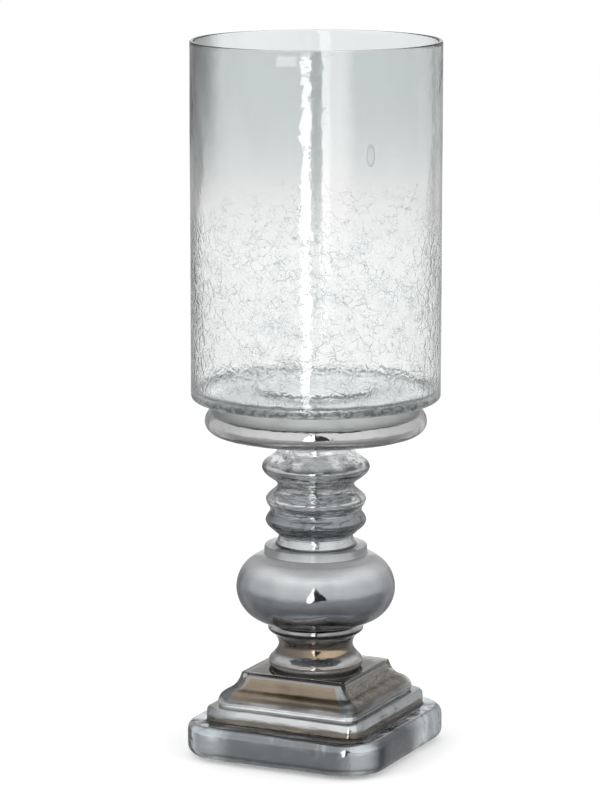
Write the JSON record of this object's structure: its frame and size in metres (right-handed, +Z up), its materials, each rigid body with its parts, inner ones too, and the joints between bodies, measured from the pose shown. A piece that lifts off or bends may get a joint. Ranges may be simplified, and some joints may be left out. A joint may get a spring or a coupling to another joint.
{
  "type": "hurricane candle lantern",
  "caption": "Open crackle-glass hurricane vessel, smoke grey at the rim and clear below, on a turned silvered-glass pedestal with a stepped square base.",
  "frame": {"origin": "centre of the resting face, under the four bumper feet", "axes": "+Z up along the turned axis; X and Y along the sides of the square base"},
  "size_m": [0.2, 0.2, 0.5718],
  "materials": {
    "silvered_smoke_glass": "smoke-tinted blown glass, silvered inside, polished",
    "ombre_crackle_glass": "clear crackle glass with a smoke-grey fade towards the rim",
    "clear_bond": "clear cured adhesive",
    "stopper_rubber": "matt moulded rubber",
    "clear_bumper": "clear soft bumper pad"
  },
  "bodies": {
    "pedestal": {"bumper_feet": "clear_bumper", "stepped_base": "silvered_smoke_glass", "silvering_stopper": "stopper_rubber", "neck_bond": "clear_bond", "lower_neck": "silvered_smoke_glass", "bulb_bond": "clear_bond", "bulb": "silvered_smoke_glass", "stem_bond": "clear_bond", "ringed_stem": "silvered_smoke_glass", "dish_bond": "clear_bond", "support_dish": "silvered_smoke_glass"},
    "hurricane": {"hurricane_cylinder": "ombre_crackle_glass"}
  },
  "joints": [
    {"name": "cylinder_lift", "type": "slide", "parent": "pedestal", "child": "hurricane", "axis": [0, 0, 1], "range_m": [0, 0.12]}
  ]
}
